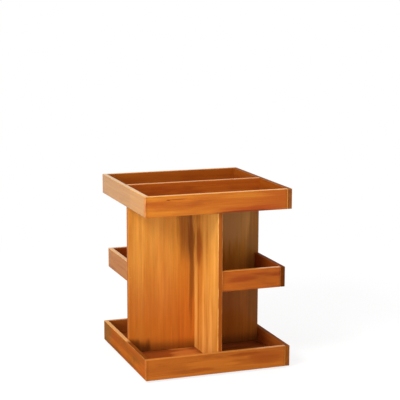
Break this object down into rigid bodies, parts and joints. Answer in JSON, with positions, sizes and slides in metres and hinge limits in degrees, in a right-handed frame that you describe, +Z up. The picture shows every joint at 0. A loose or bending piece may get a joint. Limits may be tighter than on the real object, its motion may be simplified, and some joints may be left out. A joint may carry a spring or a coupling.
{
  "type": "rotating makeup organizer",
  "caption": "Square wooden tabletop organizer on a ball-bearing turntable: base and top trays joined by crossed partitions, with two corner shelves.",
  "frame": {"origin": "on the turning axis at the surface that the rubber feet stand on", "axes": "+X along the front towards the right shelf's side, +Y to the back, +Z up along the turning axis"},
  "size_m": [0.24, 0.24, 0.29],
  "materials": {
    "rim_wood": "stained, satin lacquer, grain along the board",
    "partition_wood": "stained, satin lacquer, grain upright",
    "floor_panel_wood": "stained plywood, satin lacquer",
    "dowel_wood": "plain beech",
    "pin_steel": "heads touched in with stain",
    "screw_steel": "zinc plated, yellow on the wood screws in the tray floors",
    "plate_steel": "zinc plated sheet",
    "rivet_steel": "plain",
    "ball_steel": "polished",
    "bearing_plastic": "natural nylon",
    "foot_rubber": "matt"
  },
  "bodies": {
    "foot": {"turntable_bottom_plate": "plate_steel", "pivot_rivet": "rivet_steel", "pivot_washer": "bearing_plastic", "rubber_feet": "foot_rubber"},
    "organizer": {"base_rim_front": "rim_wood", "base_rim_right": "rim_wood", "base_rim_back": "rim_wood", "base_rim_left": "rim_wood", "top_rim_front": "rim_wood", "top_rim_right": "rim_wood", "top_rim_back": "rim_wood", "top_rim_left": "rim_wood", "right_shelf_front_rim": "rim_wood", "right_shelf_side_rim": "rim_wood", "left_shelf_back_rim": "rim_wood", "left_shelf_side_rim": "rim_wood", "top_divider": "rim_wood", "long_partition": "partition_wood", "front_partition": "partition_wood", "rear_partition": "partition_wood", "base_floor": "floor_panel_wood", "top_floor": "floor_panel_wood", "right_shelf_floor": "floor_panel_wood", "left_shelf_floor": "floor_panel_wood", "base_rim_pins": "pin_steel", "top_rim_pins": "pin_steel", "right_shelf_pins": "pin_steel", "left_shelf_pins": "pin_steel", "base_floor_screws": "screw_steel", "top_floor_screws": "screw_steel", "turntable_screws": "screw_steel", "partition_dowels": "dowel_wood", "turntable_top_plate": "plate_steel"},
    "bearing": {"ball_cage": "bearing_plastic", "bearing_balls": "ball_steel"}
  },
  "joints": [
    {"name": "organizer_spin", "type": "hinge", "parent": "foot", "child": "organizer", "pos_m": [0, 0, 0.00575], "axis": [0, 0, 1], "continuous": true},
    {"name": "bearing_spin", "type": "hinge", "parent": "foot", "child": "bearing", "pos_m": [0, 0, 0.00575], "axis": [0, 0, 1], "continuous": true}
  ],
  "couplings": [
    {"joint": "bearing_spin", "follows": "organizer_spin", "ratio": 0.5}
  ]
}
